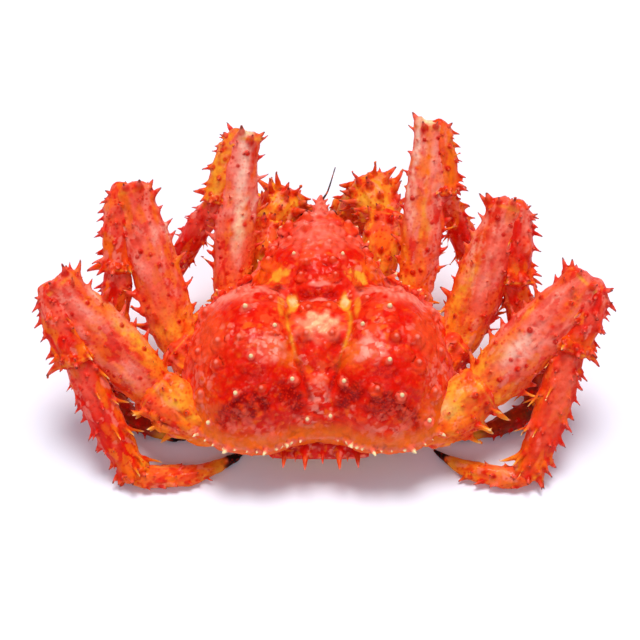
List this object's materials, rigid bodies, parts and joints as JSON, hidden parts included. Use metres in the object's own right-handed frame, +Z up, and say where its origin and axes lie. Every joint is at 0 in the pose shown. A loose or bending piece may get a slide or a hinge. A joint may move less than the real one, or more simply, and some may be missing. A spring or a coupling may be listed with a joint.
{
  "type": "king crab",
  "caption": "Whole cooked king crab with a spiny red shell, its legs folded up beside its body, standing on its feet.",
  "frame": {"origin": "centre of the bounding box in X and Y, on the surface the crab stands on", "axes": "+X to the crab's right, +Y towards its head, +Z up"},
  "size_m": [0.3239, 0.1862, 0.1199],
  "materials": {
    "carapace_shell": "wet gloss",
    "leg_shell": "wet gloss",
    "claw_shell": "wet gloss",
    "abdomen_shell": "wet gloss",
    "belly_shell": "satin",
    "eye": "gloss",
    "antenna": "satin"
  },
  "bodies": {
    "root": {"carapace": "carapace_shell", "thorax": "belly_shell", "abdomen": "abdomen_shell", "leg_rear_left_base": "leg_shell", "leg_rear_left_merus": "leg_shell", "leg_rear_left_carpus": "leg_shell", "leg_rear_left_propodus": "leg_shell", "leg_rear_left_dactyl": "leg_shell", "leg_rear_right_base": "leg_shell", "leg_rear_right_merus": "leg_shell", "leg_rear_right_carpus": "leg_shell", "leg_rear_right_propodus": "leg_shell", "leg_rear_right_dactyl": "leg_shell", "leg_middle_left_base": "leg_shell", "leg_middle_left_merus": "leg_shell", "leg_middle_left_carpus": "leg_shell", "leg_middle_left_propodus": "leg_shell", "leg_middle_left_dactyl": "leg_shell", "leg_middle_right_base": "leg_shell", "leg_middle_right_merus": "leg_shell", "leg_middle_right_carpus": "leg_shell", "leg_middle_right_propodus": "leg_shell", "leg_middle_right_dactyl": "leg_shell", "leg_front_left_base": "leg_shell", "leg_front_left_merus": "leg_shell", "leg_front_left_carpus": "leg_shell", "leg_front_left_propodus": "leg_shell", "leg_front_left_dactyl": "leg_shell", "leg_front_right_base": "leg_shell", "leg_front_right_merus": "leg_shell", "leg_front_right_carpus": "leg_shell", "leg_front_right_propodus": "leg_shell", "leg_front_right_dactyl": "leg_shell", "claw_left_base": "claw_shell", "claw_left_merus": "claw_shell", "claw_left_carpus": "claw_shell", "claw_left_palm": "claw_shell", "claw_left_finger": "claw_shell", "claw_right_base": "claw_shell", "claw_right_merus": "claw_shell", "claw_right_carpus": "claw_shell", "claw_right_palm": "claw_shell", "claw_right_finger": "claw_shell", "eye_left": "eye", "mouth_limb_left": "belly_shell", "antenna_left": "antenna", "eye_right": "eye", "mouth_limb_right": "belly_shell", "antenna_right": "antenna"}
  },
  "joints": []
}
